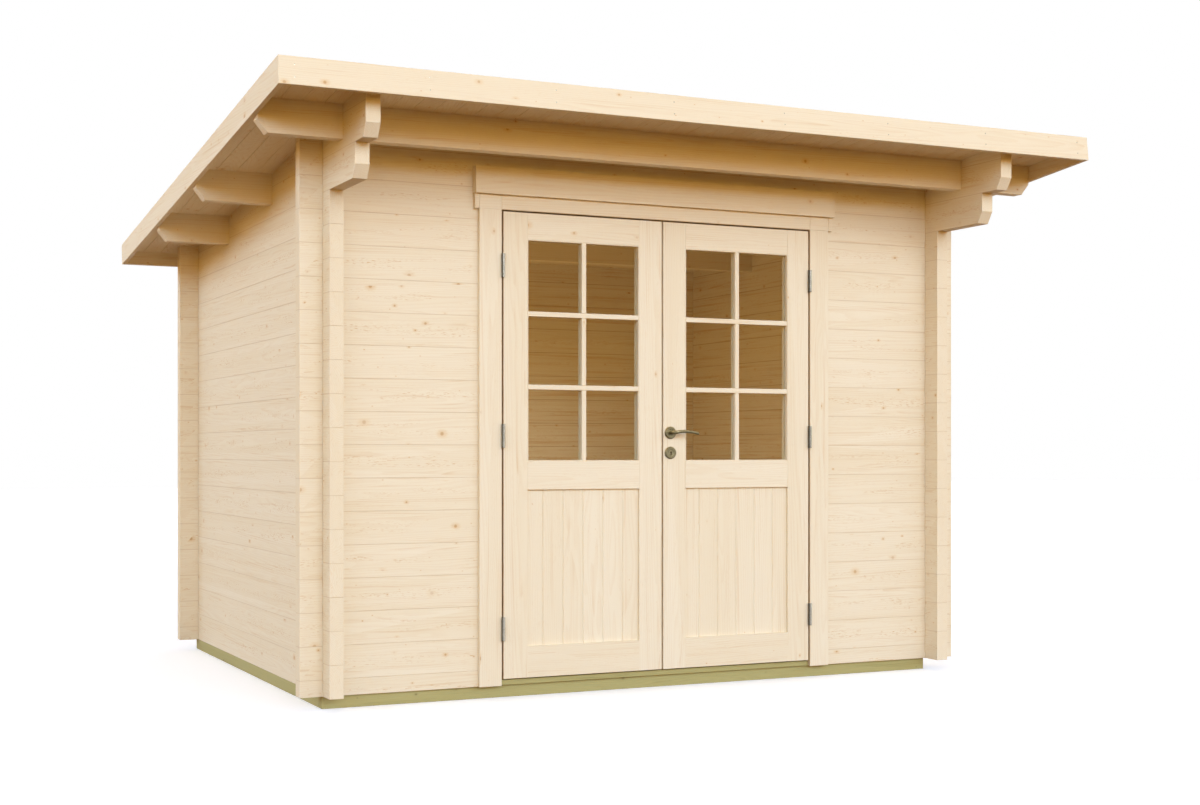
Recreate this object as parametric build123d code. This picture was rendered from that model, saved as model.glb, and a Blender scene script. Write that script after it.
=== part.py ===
"""Log garden shed with a pent roof and half-glazed double doors, standing on low bearers."""
import os
from math import ceil, cos, hypot, pi, radians, sin, tan

from build123d import *

# Walls: horizontal tongued logs that cross at the corners
WALL_WIDTH = 3000.0
WALL_DEPTH = 2350.0
LOG_THICKNESS = 58.0
LOG_PITCH = 134.5
HEAD_COURSES = 2
LINTEL_LEAST_HEIGHT = 30.0
LOG_END_REACH = 95.0
TONGUE_WIDTH = 22.0
TONGUE_HEIGHT = 9.0
TONGUE_CLEARANCE = 1.0
NOTCH_CLEARANCE = 0.5

# The front and back walls lie half a course lower than the side walls
HALF_COURSE_SHARE = 0.5

# Corbels: the top logs of each side wall run on under the eaves
CORBEL_COURSES = 2
UPPER_CORBEL_REACH = 560.0
LOWER_CORBEL_REACH = 428.0
CORBEL_CHAMFER_RUN = 32.0
CORBEL_CHAMFER_RISE = 52.0
WEDGE_END_HEIGHT = 12.0

# Roof: boards on purlins, edged by fascias and barge boards
ROOF_PITCH_DEG = 6.0
FRONT_OVERHANG = 660.0
REAR_OVERHANG = 158.0
SIDE_OVERHANG = 354.0
DECK_THICKNESS = 20.0
EDGE_BOARD_THICKNESS = 20.0
EDGE_BOARD_HEIGHT = 105.0
EDGE_BOARD_RISE = 17.0
PURLIN_HEIGHT = 134.5
FRONT_PURLIN_REACH = 274.0
MID_PURLIN_SETBACKS = (792.0, 1606.0)
PURLIN_CHAMFER_RUN = 40.0
PURLIN_CHAMFER_RISE = 50.0

# Base: bearers on the ground, a floor on them and a sill in the doorway
BASE_INSET = 15.0
BASE_RIGHT_INSET = 58.0
CROSS_BEARER_HEIGHT = 52.0
LONG_BEARER_HEIGHT = 62.0
INNER_BEARER_COUNT = 3
FLOOR_THICKNESS = 18.0
FLOOR_EDGE_GAP = 1.0
SILL_THICKNESS = 22.0

# Doorway and its trim
DOOR_OFFSET = 25.0
JAMB_THICKNESS = 45.0
STOP_WIDTH = 15.0
CASING_WIDTH = 100.0
CASING_THICKNESS = 20.0
HEAD_CASING_HEIGHT = 62.0
HEAD_HORN = 20.0
CORNICE_HEIGHT = 115.0
CORNICE_THICKNESS = 38.0
CORNICE_HORN = 23.0

# Door leaves
LEAF_WIDTH = 748.0
LEAF_HEIGHT = 1960.0
LEAF_THICKNESS = 44.0
LEAF_SETBACK = 2.0
LEAF_SIDE_GAP = 8.0
LEAF_MEETING_GAP = 8.0
LEAF_FOOT_GAP = 6.0
LEAF_HEAD_GAP = 6.0
LEAF_STOP_GAP = 5.0
STILE_WIDTH = 110.0
TOP_RAIL_HEIGHT = 112.0
MID_RAIL_HEIGHT = 120.0
BOTTOM_RAIL_HEIGHT = 132.0
PANEL_OPENING_HEIGHT = 660.0
PANEL_THICKNESS = 18.0
GLASS_THICKNESS = 6.0
GROOVE_DEPTH = 10.0

# Hinges: a fixed lower barrel with a pin, and a leaf barrel that lifts on to it
HINGE_HEIGHT = 100.0
HINGE_BARREL_RADIUS = 7.5
HINGE_PIN_RADIUS = 4.0
HINGE_PIN_CLEARANCE = 0.3
HINGE_BARREL_GAP = 0.5
HINGE_PLATE_THICKNESS = 2.0
HINGE_PLATE_DEPTH = 34.0
HINGE_AXIS_STAND = 8.0
HINGE_FOOT_INSET = 210.0
HINGE_HEAD_INSET = 228.0
MID_HINGE_SHARE = 0.52

# Lever handle, roses and keyhole plates on the right leaf
HANDLE_HEIGHT = 1036.0
HANDLE_BACKSET = 34.0
ROSE_RADIUS = 27.5
ROSE_THICKNESS = 9.0
ROSE_SIDE_COUNT = 40
NECK_RADIUS = 9.0
NECK_CLEARANCE = 0.4
LEVER_LENGTH = 118.0
LEVER_STAND = 48.0
LEVER_BOW = 8.0
LEVER_TIP_DROP = 5.0
LEVER_ROOT_HEIGHT = 15.0
LEVER_TIP_HEIGHT = 9.5
LEVER_ROOT_DEPTH = 14.0
LEVER_TIP_DEPTH = 9.0
LEVER_TIP_CHAMFER = 2.5
LEVER_STATION_SHARES = (0.0, 0.2, 0.4, 0.6, 0.8, 1.0)
LEVER_SIDE_COUNT = 12
SPINDLE_WIDTH = 8.0
SPINDLE_CLEARANCE = 1.0
KEYHOLE_DROP = 88.0
KEYHOLE_RADIUS = 4.5
KEYHOLE_SLOT_WIDTH = 5.0
KEYHOLE_SLOT_DROP = 12.0

# One overrun serves every cut
OVERRUN = 200.0

# Places that follow from the sizes: the origin is under the middle of the roof's outline
LEFT = -WALL_WIDTH / 2
RIGHT = WALL_WIDTH / 2
FRONT = -(WALL_DEPTH + REAR_OVERHANG - FRONT_OVERHANG) / 2
BACK = FRONT + WALL_DEPTH
WALL_FOOT = CROSS_BEARER_HEIGHT
NOTCH_DEPTH = LOG_PITCH / 4
ROOF_ANGLE = radians(ROOF_PITCH_DEG)

LEAF_FOOT = WALL_FOOT + SILL_THICKNESS + LEAF_FOOT_GAP
LEAF_HEAD = LEAF_FOOT + LEAF_HEIGHT
DOORWAY_HALF = LEAF_WIDTH + LEAF_MEETING_GAP / 2 + LEAF_SIDE_GAP
DOORWAY_HEAD = LEAF_HEAD + LEAF_HEAD_GAP
LOG_OPENING_HALF = DOORWAY_HALF + JAMB_THICKNESS
LOG_OPENING_HEAD = DOORWAY_HEAD + JAMB_THICKNESS
HINGE_LEVELS = (LEAF_FOOT + HINGE_FOOT_INSET, LEAF_FOOT + LEAF_HEIGHT * MID_HINGE_SHARE,
                LEAF_HEAD - HINGE_HEAD_INSET)
HANDLE_LEVEL = LEAF_FOOT + HANDLE_HEIGHT
CASING_FRONT = FRONT - CASING_THICKNESS
LEAF_FRONT = CASING_FRONT + LEAF_SETBACK
LEAF_BACK = LEAF_FRONT + LEAF_THICKNESS
STOP_FRONT = LEAF_BACK + LEAF_STOP_GAP
HINGE_AXIS_Y = CASING_FRONT - HINGE_AXIS_STAND
HINGE_AXIS_HALF = DOORWAY_HALF - LEAF_SIDE_GAP / 2
HANDLE_X = DOOR_OFFSET + LEAF_MEETING_GAP / 2 + HANDLE_BACKSET

# Courses: the lintel is the first front log that stays whole over the doorway
LINTEL_COURSE = ceil((LOG_OPENING_HEAD + LINTEL_LEAST_HEIGHT - WALL_FOOT) / LOG_PITCH - HALF_COURSE_SHARE)
WALL_COURSES = LINTEL_COURSE + HEAD_COURSES
SIDE_COURSES = WALL_COURSES - CORBEL_COURSES
WALL_TOP = WALL_FOOT + WALL_COURSES * LOG_PITCH


def block(x0, x1, y0, y1, z0, z1):
    """A box between two opposite corners."""
    return Pos(x0, y0, z0) * Box(x1 - x0, y1 - y0, z1 - z0, align=(Align.MIN,) * 3)


def prism_along_x(points, x0, x1):
    """A (y, z) outline carried from x0 to x1."""
    face = make_face(Polyline(*[(0, y, z) for y, z in points], close=True))
    return Pos(x0, 0, 0) * extrude(face, amount=x1 - x0, dir=(1, 0, 0))


def prism_along_y(points, y0, y1):
    """An (x, z) outline carried from y0 to y1."""
    face = make_face(Polyline(*[(x, 0, z) for x, z in points], close=True))
    return Pos(0, y0, 0) * extrude(face, amount=y1 - y0, dir=(0, 1, 0))


def roof_height(y):
    """Height of the deck's underside: it meets the top of the front wall's inner face."""
    return WALL_TOP + (FRONT + LOG_THICKNESS - y) * tan(ROOF_ANGLE)


def under_roof():
    """All the space below the deck's underside."""
    y0 = FRONT - FRONT_OVERHANG - OVERRUN
    y1 = BACK + REAR_OVERHANG + OVERRUN
    outline = [(y0, -OVERRUN), (y1, -OVERRUN), (y1, roof_height(y1)), (y0, roof_height(y0))]
    reach = SIDE_OVERHANG + OVERRUN
    return prism_along_x(outline, LEFT - reach, RIGHT + reach)


def course_foot(number):
    """Height of the underside of a course, counted in whole logs from the walls' foot."""
    return WALL_FOOT + number * LOG_PITCH


def log_core(face, along_x, half_width, z0, z1):
    """A bar in the middle of a wall, from one corner to the other."""
    low = face + LOG_THICKNESS / 2 - half_width
    high = face + LOG_THICKNESS / 2 + half_width
    inset = LOG_THICKNESS / 2
    if along_x:
        return block(LEFT + inset, RIGHT - inset, low, high, z0, z1)
    return block(low, high, FRONT + inset, BACK - inset, z0, z1)


def tongue(face, along_x, foot, top):
    """The tongue on a log, rooted in its body; the log's ends stay plain."""
    return log_core(face, along_x, TONGUE_WIDTH / 2, foot + NOTCH_DEPTH, top + TONGUE_HEIGHT)


def groove(face, along_x, foot):
    """The groove under a log for the tongue of the log below."""
    return log_core(face, along_x, TONGUE_WIDTH / 2 + TONGUE_CLEARANCE, foot - OVERRUN,
                    foot + TONGUE_HEIGHT + TONGUE_CLEARANCE)


def notches_at(middle, along_x, span, foot, top, bottom_notch=True):
    """Cuts over and under a log where a log of the other wall crosses it."""
    half = LOG_THICKNESS / 2 + NOTCH_CLEARANCE
    cuts = []
    levels = [(top - NOTCH_DEPTH, top + OVERRUN)]
    if bottom_notch:
        levels.append((foot - OVERRUN, foot + NOTCH_DEPTH))
    for z0, z1 in levels:
        if along_x:
            cuts.append(block(middle - half, middle + half, span[0], span[1], z0, z1))
        else:
            cuts.append(block(span[0], span[1], middle - half, middle + half, z0, z1))
    return cuts


def long_wall_course(face, index, last):
    """One log of the front or back wall; the first is half a log."""
    foot = max(course_foot(index - HALF_COURSE_SHARE), WALL_FOOT)
    top = course_foot(index + HALF_COURSE_SHARE)
    if last:
        top += OVERRUN
    log = block(LEFT - LOG_END_REACH, RIGHT + LOG_END_REACH, face, face + LOG_THICKNESS, foot, top)
    if not last:
        log += tongue(face, True, foot, top)
    log -= groove(face, True, foot) if index else long_bearer(face)
    span = (face - OVERRUN, face + LOG_THICKNESS + OVERRUN)
    for corner in (LEFT + LOG_THICKNESS / 2, RIGHT - LOG_THICKNESS / 2):
        above = top + (OVERRUN if last else 0)
        log -= notches_at(corner, True, span, foot, above, bottom_notch=index > 0)
    return log & under_roof() if last else log


def side_wall_course(face, index):
    """One log of a side wall, below those that run out as corbels."""
    foot = course_foot(index)
    top = course_foot(index + 1)
    last = index + 1 == SIDE_COURSES
    log = block(face, face + LOG_THICKNESS, FRONT - LOG_END_REACH, BACK + LOG_END_REACH, foot, top)
    if not last:
        log += tongue(face, False, foot, top)
    if index:
        log -= groove(face, False, foot)
    else:
        log -= [long_bearer(FRONT), long_bearer(BACK - LOG_THICKNESS)]
    log -= corner_cuts(face, foot)
    return log - purlin_blanks() if last else log


def corner_cuts(face, foot):
    """The notches of one side log at the front and back walls."""
    span = (face - OVERRUN, face + LOG_THICKNESS + OVERRUN)
    cuts = []
    for corner in (FRONT + LOG_THICKNESS / 2, BACK - LOG_THICKNESS / 2):
        cuts += notches_at(corner, False, span, foot, foot + LOG_PITCH)
    return cuts


def wedge_end():
    """Where the tapered top log of a side wall stops, blunt, on the log below."""
    rise = roof_height(FRONT) - course_foot(WALL_COURSES - 1) - WEDGE_END_HEIGHT
    return FRONT + rise / tan(ROOF_ANGLE)


def corbel_outline(reach, foot, top, end):
    """Side view of a corbel log with its chamfered nose."""
    nose = FRONT - reach
    return [(nose + CORBEL_CHAMFER_RUN, foot), (end, foot), (end, top), (nose, top),
            (nose, foot + CORBEL_CHAMFER_RISE)]


def lower_corbel_log(face):
    """The last full log of a side wall, planed to the roof at the back."""
    foot = course_foot(SIDE_COURSES)
    top = foot + LOG_PITCH
    end = BACK + LOG_END_REACH
    log = prism_along_x(corbel_outline(LOWER_CORBEL_REACH, foot, top, end), face, face + LOG_THICKNESS)
    log += block(face, face + LOG_THICKNESS, wedge_end(), end, top, top + WEDGE_END_HEIGHT)
    log -= corner_cuts(face, foot) + top_log_rooms() + purlin_blanks()
    return wall_solids(log & under_roof())


def upper_corbel_log(face):
    """The tapered top log of a side wall."""
    foot = course_foot(WALL_COURSES - 1)
    top = foot + LOG_PITCH + OVERRUN
    outline = corbel_outline(UPPER_CORBEL_REACH, foot, top, wedge_end())
    log = prism_along_x(outline, face, face + LOG_THICKNESS)
    log -= corner_cuts(face, foot) + top_log_rooms() + purlin_blanks()
    return wall_solids(log & under_roof())


def top_log_rooms():
    """The room that the top log of the front and back walls needs between the side logs."""
    half = LOG_THICKNESS / 2 + NOTCH_CLEARANCE
    rooms = []
    for middle, course in ((FRONT + LOG_THICKNESS / 2, WALL_COURSES),
                           (BACK - LOG_THICKNESS / 2, back_courses())):
        foot = course_foot(course - HALF_COURSE_SHARE)
        rooms.append(block(LEFT - OVERRUN, RIGHT + OVERRUN, middle - half, middle + half,
                           foot + NOTCH_DEPTH, foot + LOG_PITCH + OVERRUN))
    return rooms


def back_courses():
    """Number of the back wall's top log, which the roof cuts."""
    return int((roof_height(BACK) - WALL_FOOT) / LOG_PITCH + HALF_COURSE_SHARE)


def wall_solids(shape):
    """The solids of a cut log that are long enough to be a piece of wall."""
    return [s for s in shape.solids() if s.bounding_box().size.Y > 2 * LOG_END_REACH]


def purlin_blank(face):
    """A square-ended purlin, planed to the roof on top."""
    foot = roof_height(face) - PURLIN_HEIGHT
    half = WALL_WIDTH / 2 + SIDE_OVERHANG - EDGE_BOARD_THICKNESS
    blank = block(-half, half, face, face + LOG_THICKNESS, foot, foot + PURLIN_HEIGHT + OVERRUN)
    return blank & under_roof()


def purlin_faces():
    """Front faces of the purlins, from the front one back."""
    return [FRONT - FRONT_PURLIN_REACH] + [FRONT + setback for setback in MID_PURLIN_SETBACKS]


def purlin_blanks():
    return [purlin_blank(face) for face in purlin_faces()]


def purlin(face):
    """A purlin with the lower corners of its ends cut back."""
    foot = roof_height(face) - PURLIN_HEIGHT
    top = foot + PURLIN_HEIGHT + OVERRUN
    half = WALL_WIDTH / 2 + SIDE_OVERHANG - EDGE_BOARD_THICKNESS
    outline = [(PURLIN_CHAMFER_RUN - half, foot), (half - PURLIN_CHAMFER_RUN, foot),
               (half, foot + PURLIN_CHAMFER_RISE), (half, top), (-half, top),
               (-half, foot + PURLIN_CHAMFER_RISE)]
    return prism_along_y(outline, face, face + LOG_THICKNESS) & under_roof()


def roof_frame():
    """Roof axes: X across, Y up the slope to the back, Z square to the deck's underside."""
    seat = (0, FRONT + LOG_THICKNESS, WALL_TOP)
    return Plane(origin=seat, x_dir=(1, 0, 0), z_dir=(0, sin(ROOF_ANGLE), cos(ROOF_ANGLE)))


def roof_reach():
    """Outer faces of the front and rear edge boards, measured along the slope."""
    top = DECK_THICKNESS + EDGE_BOARD_RISE
    foot = top - EDGE_BOARD_HEIGHT
    front = (LOG_THICKNESS + FRONT_OVERHANG + foot * sin(ROOF_ANGLE)) / cos(ROOF_ANGLE)
    rear = (WALL_DEPTH - LOG_THICKNESS + REAR_OVERHANG - top * sin(ROOF_ANGLE)) / cos(ROOF_ANGLE)
    return -front, rear


def roof_pieces():
    """Deck, front fascia, rear fascia and the two barge boards."""
    front, rear = roof_reach()
    half = WALL_WIDTH / 2 + SIDE_OVERHANG
    inner = half - EDGE_BOARD_THICKNESS
    top = DECK_THICKNESS + EDGE_BOARD_RISE
    foot = top - EDGE_BOARD_HEIGHT
    place = roof_frame().location
    board = EDGE_BOARD_THICKNESS
    deck = place * block(-inner, inner, front + board, rear - board, 0, DECK_THICKNESS)
    front_fascia = place * block(-half, half, front, front + board, foot, top)
    rear_fascia = place * block(-inner, inner, rear - board, rear, foot, top)
    barges = [place * block(side, side + board, front + board, rear, foot, top)
              for side in (-half, inner)]
    return deck, front_fascia, rear_fascia, barges


def long_bearer(wall_face):
    """The bearer under the front or back wall."""
    inset = BASE_INSET if wall_face == FRONT else 0
    depth = LOG_THICKNESS - BASE_INSET
    return block(LEFT, RIGHT - BASE_RIGHT_INSET, wall_face + inset, wall_face + inset + depth,
                 0, LONG_BEARER_HEIGHT)


def sill():
    """The door sill, let down into the front bearer."""
    return block(DOOR_OFFSET - LOG_OPENING_HALF, DOOR_OFFSET + LOG_OPENING_HALF, FRONT,
                 FRONT + LOG_THICKNESS, WALL_FOOT, WALL_FOOT + SILL_THICKNESS)


def cross_bearers():
    """Bearers from front to back, flush with the long ones at both ends and spread evenly between."""
    width = LOG_THICKNESS - BASE_INSET
    first = LEFT
    last = RIGHT - BASE_RIGHT_INSET - width
    steps = INNER_BEARER_COUNT + 1
    places = [first + (last - first) * step / steps for step in range(steps + 1)]
    return [block(x, x + width, FRONT + LOG_THICKNESS, BACK - LOG_THICKNESS, 0, CROSS_BEARER_HEIGHT)
            for x in places]


def doorway_cut():
    """The gap that the door frame fills in the front wall."""
    return block(DOOR_OFFSET - LOG_OPENING_HALF, DOOR_OFFSET + LOG_OPENING_HALF,
                 FRONT - OVERRUN, FRONT + LOG_THICKNESS + OVERRUN, 0, LOG_OPENING_HEAD)


def door_jamb(side):
    """One side of the door frame, rebated to make the stop."""
    inner = DOOR_OFFSET + side * DOORWAY_HALF
    outer = inner + side * JAMB_THICKNESS
    lip = inner - side * STOP_WIDTH
    inside = FRONT + LOG_THICKNESS
    outline = [(outer, FRONT), (inner, FRONT), (inner, STOP_FRONT), (lip, STOP_FRONT),
               (lip, inside), (outer, inside)]
    face = make_face(Polyline(*outline, close=True))
    foot = WALL_FOOT + SILL_THICKNESS
    return Pos(0, 0, foot) * extrude(face, amount=LOG_OPENING_HEAD - foot, dir=(0, 0, 1))


def door_head():
    """The top of the door frame, between the jambs."""
    inside = FRONT + LOG_THICKNESS
    lip = DOORWAY_HEAD - STOP_WIDTH
    outline = [(FRONT, DOORWAY_HEAD), (STOP_FRONT, DOORWAY_HEAD), (STOP_FRONT, lip), (inside, lip),
               (inside, LOG_OPENING_HEAD), (FRONT, LOG_OPENING_HEAD)]
    bar = prism_along_x(outline, DOOR_OFFSET - DOORWAY_HALF, DOOR_OFFSET + DOORWAY_HALF)
    return bar - [door_jamb(-1), door_jamb(1)]


def casing(side):
    """One upright board of the door trim."""
    inner = DOOR_OFFSET + side * DOORWAY_HALF
    outer = inner + side * CASING_WIDTH
    return block(min(inner, outer), max(inner, outer), CASING_FRONT, FRONT, WALL_FOOT, DOORWAY_HEAD)


def head_board(foot, height, thickness, horn):
    """A level board over the doorway, with a horn past each casing."""
    half = DOORWAY_HALF + CASING_WIDTH + horn
    return block(DOOR_OFFSET - half, DOOR_OFFSET + half, FRONT - thickness, FRONT, foot, foot + height)


def leaf_edges(side):
    """The low and high X of a leaf; side is -1 for the left and 1 for the right."""
    meeting = DOOR_OFFSET + side * LEAF_MEETING_GAP / 2
    hinge = meeting + side * LEAF_WIDTH
    return min(meeting, hinge), max(meeting, hinge)


def panel_levels():
    """Foot and head of the panel's opening in a leaf."""
    foot = LEAF_FOOT + BOTTOM_RAIL_HEIGHT
    return foot, foot + PANEL_OPENING_HEIGHT


def glass_levels():
    """Foot and head of the glass's opening in a leaf."""
    return panel_levels()[1] + MID_RAIL_HEIGHT, LEAF_HEAD - TOP_RAIL_HEIGHT


def infill(side, levels, thickness):
    """A sheet that seats in the grooves round one opening of a leaf."""
    low, high = leaf_edges(side)
    middle = LEAF_FRONT + LEAF_THICKNESS / 2
    return block(low + STILE_WIDTH - GROOVE_DEPTH, high - STILE_WIDTH + GROOVE_DEPTH,
                 middle - thickness / 2, middle + thickness / 2,
                 levels[0] - GROOVE_DEPTH, levels[1] + GROOVE_DEPTH)


def leaf_infills(side):
    """The panel and the glass of one leaf."""
    return infill(side, panel_levels(), PANEL_THICKNESS), infill(side, glass_levels(), GLASS_THICKNESS)


def leaf_stiles(side):
    """The two uprights of a leaf, grooved for the panel and the glass."""
    low, high = leaf_edges(side)
    grooves = list(leaf_infills(side))
    if side > 0:
        grooves += handle_bores()
    return [block(x, x + STILE_WIDTH, LEAF_FRONT, LEAF_BACK, LEAF_FOOT, LEAF_HEAD) - grooves
            for x in (low, high - STILE_WIDTH)]


def leaf_rails(side):
    """The three rails of a leaf, between its stiles."""
    low, high = leaf_edges(side)
    grooves = list(leaf_infills(side))
    levels = [(LEAF_FOOT, panel_levels()[0]), (panel_levels()[1], glass_levels()[0]),
              (glass_levels()[1], LEAF_HEAD)]
    return [block(low + STILE_WIDTH, high - STILE_WIDTH, LEAF_FRONT, LEAF_BACK, z0, z1) - grooves
            for z0, z1 in levels]


def hinge_axis(side):
    return DOOR_OFFSET + side * HINGE_AXIS_HALF


def hinge_plate(side, seat, z0, z1):
    """A plate against the edge of the leaf (seat -1) or of the frame (seat 1)."""
    axis = hinge_axis(side)
    outer = axis + side * seat * LEAF_SIDE_GAP / 2
    inner = outer - side * seat * HINGE_PLATE_THICKNESS
    return block(min(inner, outer), max(inner, outer), HINGE_AXIS_Y, HINGE_AXIS_Y + HINGE_PLATE_DEPTH,
                 z0, z1)


def barrel(side, radius, z0, z1):
    place = Pos(hinge_axis(side), HINGE_AXIS_Y, z0)
    return place * Cylinder(radius, z1 - z0, align=(Align.CENTER, Align.CENTER, Align.MIN))


def frame_knuckle(side, level):
    """The fixed lower half of a hinge, with its pin."""
    z0 = level - HINGE_HEIGHT / 2
    z1 = level - HINGE_BARREL_GAP
    pin = barrel(side, HINGE_PIN_RADIUS, z0, level + HINGE_HEIGHT / 4)
    return barrel(side, HINGE_BARREL_RADIUS, z0, z1) + hinge_plate(side, 1, z0, z1) + pin


def leaf_knuckle(side, level):
    """The upper half of a hinge, which turns on the pin."""
    z1 = level + HINGE_HEIGHT / 2
    bore = barrel(side, HINGE_PIN_RADIUS + HINGE_PIN_CLEARANCE, level - OVERRUN,
                  level + HINGE_HEIGHT / 4 + HINGE_PIN_CLEARANCE)
    return barrel(side, HINGE_BARREL_RADIUS, level, z1) + hinge_plate(side, -1, level, z1) - bore


def disc(radius, x, z, y0, y1):
    """A round bar or disc along Y."""
    place = Plane(origin=(x, y0, z), x_dir=(1, 0, 0), z_dir=(0, 1, 0)).location
    return place * Cylinder(radius, y1 - y0, align=(Align.CENTER, Align.CENTER, Align.MIN))


def keyhole(y0, y1):
    """A round hole with a slot below it."""
    level = HANDLE_LEVEL - KEYHOLE_DROP
    slot = block(HANDLE_X - KEYHOLE_SLOT_WIDTH / 2, HANDLE_X + KEYHOLE_SLOT_WIDTH / 2, y0, y1,
                 level - KEYHOLE_SLOT_DROP, level)
    return disc(KEYHOLE_RADIUS, HANDLE_X, level, y0, y1) + slot


def handle_bores():
    """The holes through the right leaf's meeting stile for the spindle and the key."""
    y0 = LEAF_FRONT - OVERRUN
    y1 = LEAF_BACK + OVERRUN
    radius = hypot(SPINDLE_WIDTH, SPINDLE_WIDTH) / 2 + SPINDLE_CLEARANCE
    return [disc(radius, HANDLE_X, HANDLE_LEVEL, y0, y1), keyhole(y0, y1)]


def plates(level, hole):
    """A round plate with a hole on each face of the right leaf; short flat sides keep its mesh light."""
    solids = []
    for y in (LEAF_FRONT - ROSE_THICKNESS, LEAF_BACK):
        place = Plane(origin=(HANDLE_X, y, level), x_dir=(1, 0, 0), z_dir=(0, 1, 0))
        outline = place * RegularPolygon(ROSE_RADIUS, ROSE_SIDE_COUNT)
        solids.append(extrude(outline, amount=ROSE_THICKNESS) - hole)
    return solids


def roses():
    hole = disc(NECK_RADIUS + NECK_CLEARANCE, HANDLE_X, HANDLE_LEVEL, LEAF_FRONT - OVERRUN,
                LEAF_BACK + OVERRUN)
    return plates(HANDLE_LEVEL, hole)


def escutcheons():
    return plates(HANDLE_LEVEL - KEYHOLE_DROP, keyhole(LEAF_FRONT - OVERRUN, LEAF_BACK + OVERRUN))


def lever_section(share, middle):
    """Cross-section of the lever at a share of its length: it bows up and tapers to the tip."""
    rise = LEVER_BOW * share * (1 - share) * 4 - LEVER_TIP_DROP * share
    height = LEVER_ROOT_HEIGHT + (LEVER_TIP_HEIGHT - LEVER_ROOT_HEIGHT) * share
    depth = LEVER_ROOT_DEPTH + (LEVER_TIP_DEPTH - LEVER_ROOT_DEPTH) * share
    x = HANDLE_X + LEVER_LENGTH * share
    z = HANDLE_LEVEL + rise
    turns = [2 * pi * step / LEVER_SIDE_COUNT for step in range(LEVER_SIDE_COUNT)]
    outline = [(x, middle + depth / 2 * cos(turn), z + height / 2 * sin(turn)) for turn in turns]
    return make_face(Polyline(*outline, close=True))


def lever_arm(root, out):
    """A round neck out of the leaf with the lever on its end; out is -1 outside and 1 inside."""
    middle = root + out * LEVER_STAND
    end = middle + out * LEVER_ROOT_DEPTH / 2
    neck = disc(NECK_RADIUS, HANDLE_X, HANDLE_LEVEL, min(root, end), max(root, end))
    arm = loft([lever_section(share, middle) for share in LEVER_STATION_SHARES], ruled=True)
    arm = chamfer(arm.faces().sort_by(Axis.X)[-1].edges(), LEVER_TIP_CHAMFER)
    return neck + arm


def lever():
    """Both levers on one square spindle."""
    half = SPINDLE_WIDTH / 2
    spindle = block(HANDLE_X - half, HANDLE_X + half, LEAF_FRONT, LEAF_BACK, HANDLE_LEVEL - half,
                    HANDLE_LEVEL + half)
    return lever_arm(LEAF_FRONT, -1) + spindle + lever_arm(LEAF_BACK, 1)


def front_wall_nodes():
    """The front wall's logs, sorted by where they lie round the doorway."""
    nodes = {name: [] for name in ("front_left_logs_a", "front_left_logs_b", "front_right_logs_a",
                                   "front_right_logs_b")}
    above = ("front_lintel_log", "front_head_log", "front_top_log")
    for index in range(WALL_COURSES + 1):
        log = long_wall_course(FRONT, index, index == WALL_COURSES) - doorway_cut()
        if index < LINTEL_COURSE:
            row = "ab"[index % 2]
            for piece in log.solids():
                side = "left" if piece.center().X < DOOR_OFFSET else "right"
                nodes[f"front_{side}_logs_{row}"].append(piece)
        else:
            nodes[above[index - LINTEL_COURSE]] = [log]
    return nodes


def back_wall_nodes():
    """The back wall's logs, up to the one that the roof cuts."""
    nodes = {"back_wall_logs_a": [], "back_wall_logs_b": []}
    face = BACK - LOG_THICKNESS
    last = back_courses()
    for index in range(last + 1):
        nodes["back_wall_logs_" + "ab"[index % 2]].append(long_wall_course(face, index, index == last))
    return nodes


def side_wall_nodes():
    """The side walls' logs and the corbels that run out of them."""
    nodes = {"lower_corbel_logs": [], "upper_corbel_logs": []}
    for side, face in (("left", LEFT), ("right", RIGHT - LOG_THICKNESS)):
        for row in "ab":
            nodes[f"{side}_wall_logs_{row}"] = []
        for index in range(SIDE_COURSES):
            nodes[f"{side}_wall_logs_" + "ab"[index % 2]].append(side_wall_course(face, index))
        nodes["lower_corbel_logs"] += lower_corbel_log(face)
        nodes["upper_corbel_logs"] += upper_corbel_log(face)
    return nodes


def base_nodes():
    floor = block(LEFT + LOG_THICKNESS + FLOOR_EDGE_GAP, RIGHT - LOG_THICKNESS - FLOOR_EDGE_GAP,
                  FRONT + LOG_THICKNESS + FLOOR_EDGE_GAP, BACK - LOG_THICKNESS - FLOOR_EDGE_GAP,
                  CROSS_BEARER_HEIGHT, CROSS_BEARER_HEIGHT + FLOOR_THICKNESS)
    return {
        "base_long_bearers": [long_bearer(FRONT) - sill(), long_bearer(BACK - LOG_THICKNESS)],
        "base_cross_bearers": cross_bearers(),
        "floor_boards": [floor],
        "door_sill": [sill()],
    }


def roof_nodes():
    deck, front_fascia, rear_fascia, barges = roof_pieces()
    faces = purlin_faces()
    return {
        "front_purlin": [purlin(faces[0])],
        "mid_purlins": [purlin(face) for face in faces[1:]],
        "roof_deck": [deck],
        "front_fascia": [front_fascia],
        "rear_fascia": [rear_fascia],
        "barge_boards": barges,
    }


def door_frame_nodes():
    cornice_foot = DOORWAY_HEAD + HEAD_CASING_HEIGHT
    return {
        "door_jambs": [door_jamb(-1), door_jamb(1)],
        "door_head": [door_head()],
        "door_casings": [casing(-1), casing(1)],
        "head_casing": [head_board(DOORWAY_HEAD, HEAD_CASING_HEIGHT, CASING_THICKNESS, HEAD_HORN)],
        "cornice_board": [head_board(cornice_foot, CORNICE_HEIGHT, CORNICE_THICKNESS, CORNICE_HORN)],
        "frame_hinges": [frame_knuckle(side, level) for side in (-1, 1) for level in HINGE_LEVELS],
    }


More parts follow.
